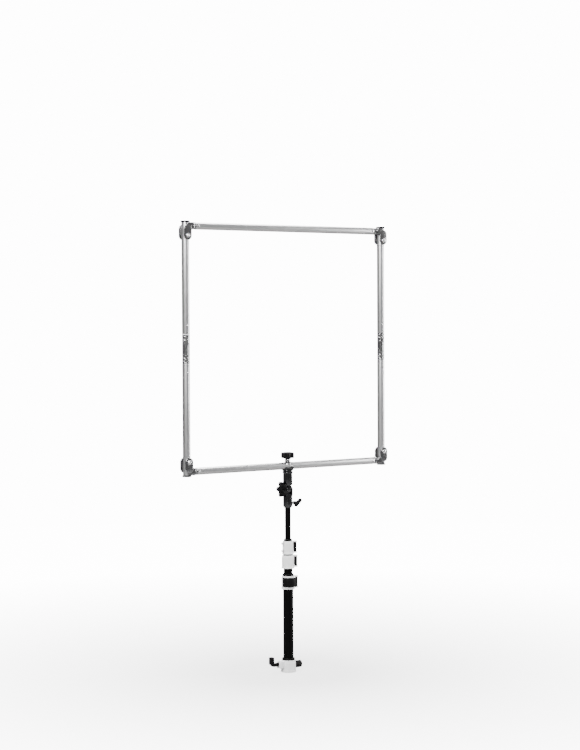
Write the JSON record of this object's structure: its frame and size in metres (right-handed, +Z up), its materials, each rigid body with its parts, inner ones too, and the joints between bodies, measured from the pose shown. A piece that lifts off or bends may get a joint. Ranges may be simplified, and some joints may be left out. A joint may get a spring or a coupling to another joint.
{
  "type": "folding diffusion frame on stand head",
  "caption": "Square folding tube frame with hinged side tubes, carried by a tilting, turning head on a telescopic black column with white lock collars.",
  "frame": {"origin": "centre of the column's flat foot", "axes": "+Z up along the column; +X along the frame's bars; -Y is the front of the frame"},
  "size_m": [0.83, 0.0576, 1.5155],
  "materials": {
    "silver_tube": "satin anodised",
    "cast_metal": "polished cast",
    "dark_metal": "dark plated",
    "bright_steel": "polished",
    "black_plastic": "moulded",
    "black_tube": "satin black anodised",
    "white_paint": "satin paint"
  },
  "bodies": {
    "stand": {"column": "black_tube", "lock_collar_3": "white_paint", "bush_3": "black_plastic", "clamp_bolt_3_1": "bright_steel", "base_collar": "white_paint", "base_bush": "black_plastic"},
    "riser_3": {"riser_3": "black_tube", "lock_collar_2": "white_paint", "bush_2": "black_plastic"},
    "riser_2": {"riser_2": "black_tube", "lock_collar_1": "white_paint", "bush_1": "black_plastic", "clamp_bolt_1_1": "bright_steel", "clamp_bolt_1_2": "bright_steel"},
    "riser_1": {"riser_1": "black_tube", "riser_stud": "black_tube"},
    "adapter": {"socket_body": "dark_metal", "tilt_pivot_bolt": "bright_steel"},
    "wing_screw": {"wing_screw": "black_plastic"},
    "tilt_knob": {"tilt_knob": "black_plastic"},
    "head": {"tilt_head": "cast_metal", "bottom_bar": "silver_tube", "rivet_bottom_left": "bright_steel", "rivet_bottom_right": "bright_steel", "rivet_bottom_middle": "bright_steel", "cone_washer": "bright_steel", "corner_fork_lower_left": "cast_metal", "corner_fork_lower_right": "cast_metal", "pivot_bolt_lower_left": "bright_steel", "pivot_bolt_lower_right": "bright_steel"},
    "clamp_knob": {"clamp_knob": "black_plastic", "clamp_screw": "bright_steel"},
    "top_bar": {"top_bar": "silver_tube", "rivet_top_left": "bright_steel", "rivet_top_right": "bright_steel", "corner_fork_upper_left": "cast_metal", "corner_fork_upper_right": "cast_metal", "pivot_bolt_upper_left": "bright_steel", "pivot_bolt_upper_right": "bright_steel"},
    "lever_1": {"lever_1": "black_plastic"},
    "lever_2": {"lever_2": "black_plastic"},
    "lever_3": {"lever_3": "black_plastic"},
    "base_lever": {"base_lever": "black_plastic"},
    "base_knob": {"base_knob": "black_plastic"},
    "side_lower_left": {"side_tube_lower_left": "silver_tube", "end_cap_lower_left": "black_plastic", "coupler_left": "dark_metal"},
    "button_lower_left": {"snap_button_lower_left": "bright_steel"},
    "side_lower_right": {"side_tube_lower_right": "silver_tube", "end_cap_lower_right": "black_plastic", "coupler_plug_right": "dark_metal"},
    "button_lower_right": {"snap_button_lower_right": "bright_steel"},
    "side_upper_left": {"side_tube_upper_left": "silver_tube", "end_cap_upper_left": "black_plastic", "coupler_plug_left": "dark_metal"},
    "button_upper_left": {"snap_button_upper_left": "bright_steel"},
    "side_upper_right": {"side_tube_upper_right": "silver_tube", "end_cap_upper_right": "black_plastic", "coupler_right": "dark_metal"},
    "button_upper_right": {"snap_button_upper_right": "bright_steel"}
  },
  "joints": [
    {"name": "riser_3_slide", "type": "slide", "parent": "stand", "child": "riser_3", "axis": [0, 0, 1], "range_m": [-0.016, 0.2]},
    {"name": "riser_2_slide", "type": "slide", "parent": "riser_3", "child": "riser_2", "axis": [0, 0, 1], "range_m": [0, 0.22]},
    {"name": "riser_1_slide", "type": "slide", "parent": "riser_2", "child": "riser_1", "axis": [0, 0, 1], "range_m": [-0.07, 0.2]},
    {"name": "swivel", "type": "hinge", "parent": "riser_1", "child": "adapter", "pos_m": [0, 0, 0.557], "axis": [0, 0, 1], "continuous": true},
    {"name": "wing_screw_turn", "type": "hinge", "parent": "adapter", "child": "wing_screw", "pos_m": [0, 0, 0.572], "axis": [1, 0, 0], "continuous": true},
    {"name": "tilt_knob_turn", "type": "hinge", "parent": "adapter", "child": "tilt_knob", "pos_m": [0, 0, 0.618], "axis": [1, 0, 0], "continuous": true},
    {"name": "frame_tilt", "type": "hinge", "parent": "adapter", "child": "head", "pos_m": [0, 0, 0.618], "axis": [1, 0, 0], "range_deg": [-90, 90]},
    {"name": "clamp_knob_turn", "type": "hinge", "parent": "head", "child": "clamp_knob", "pos_m": [0, 0, 0.729], "axis": [0, 0, 1], "continuous": true},
    {"name": "top_half_lift", "type": "slide", "parent": "head", "child": "top_bar", "axis": [0, 0, 1], "range_m": [0, 0.2]},
    {"name": "fold_lower_left", "type": "hinge", "parent": "head", "child": "side_lower_left", "pos_m": [-0.4, 0, 0.731], "axis": [0, 1, 0], "range_deg": [0, 85]},
    {"name": "press_lower_left", "type": "slide", "parent": "side_lower_left", "child": "button_lower_left", "axis": [0, 1, 0], "range_m": [0, 0.003], "stiffness_N_per_m": 900},
    {"name": "fold_lower_right", "type": "hinge", "parent": "head", "child": "side_lower_right", "pos_m": [0.4, 0, 0.731], "axis": [0, -1, 0], "range_deg": [0, 90]},
    {"name": "press_lower_right", "type": "slide", "parent": "side_lower_right", "child": "button_lower_right", "axis": [0, 1, 0], "range_m": [0, 0.003], "stiffness_N_per_m": 900},
    {"name": "fold_upper_left", "type": "hinge", "parent": "top_bar", "child": "side_upper_left", "pos_m": [-0.4, 0, 1.467], "axis": [0, -1, 0], "range_deg": [0, 90]},
    {"name": "press_upper_left", "type": "slide", "parent": "side_upper_left", "child": "button_upper_left", "axis": [0, 1, 0], "range_m": [0, 0.003], "stiffness_N_per_m": 900},
    {"name": "fold_upper_right", "type": "hinge", "parent": "top_bar", "child": "side_upper_right", "pos_m": [0.4, 0, 1.467], "axis": [0, 1, 0], "range_deg": [0, 90]},
    {"name": "press_upper_right", "type": "slide", "parent": "side_upper_right", "child": "button_upper_right", "axis": [0, 1, 0], "range_m": [0, 0.003], "stiffness_N_per_m": 900},
    {"name": "lever_3_open", "type": "hinge", "parent": "stand", "child": "lever_3", "pos_m": [0.02643, -0.01068, 0.306], "axis": [0, 0, 1], "range_deg": [0, 95]},
    {"name": "lever_2_open", "type": "hinge", "parent": "riser_3", "child": "lever_2", "pos_m": [0.02531, -0.01023, 0.376], "axis": [0, 0, -1], "range_deg": [0, 95]},
    {"name": "lever_1_open", "type": "hinge", "parent": "riser_2", "child": "lever_1", "pos_m": [0.02337, -0.00944, 0.424], "axis": [0, 0, -1], "range_deg": [0, 95]},
    {"name": "base_lever_lift", "type": "hinge", "parent": "stand", "child": "base_lever", "pos_m": [-0.0385, 0, 0.028], "axis": [0, 1, 0], "range_deg": [0, 60]},
    {"name": "base_knob_turn", "type": "hinge", "parent": "stand", "child": "base_knob", "pos_m": [0.036, 0, 0.022], "axis": [1, 0, 0], "continuous": true}
  ]
}
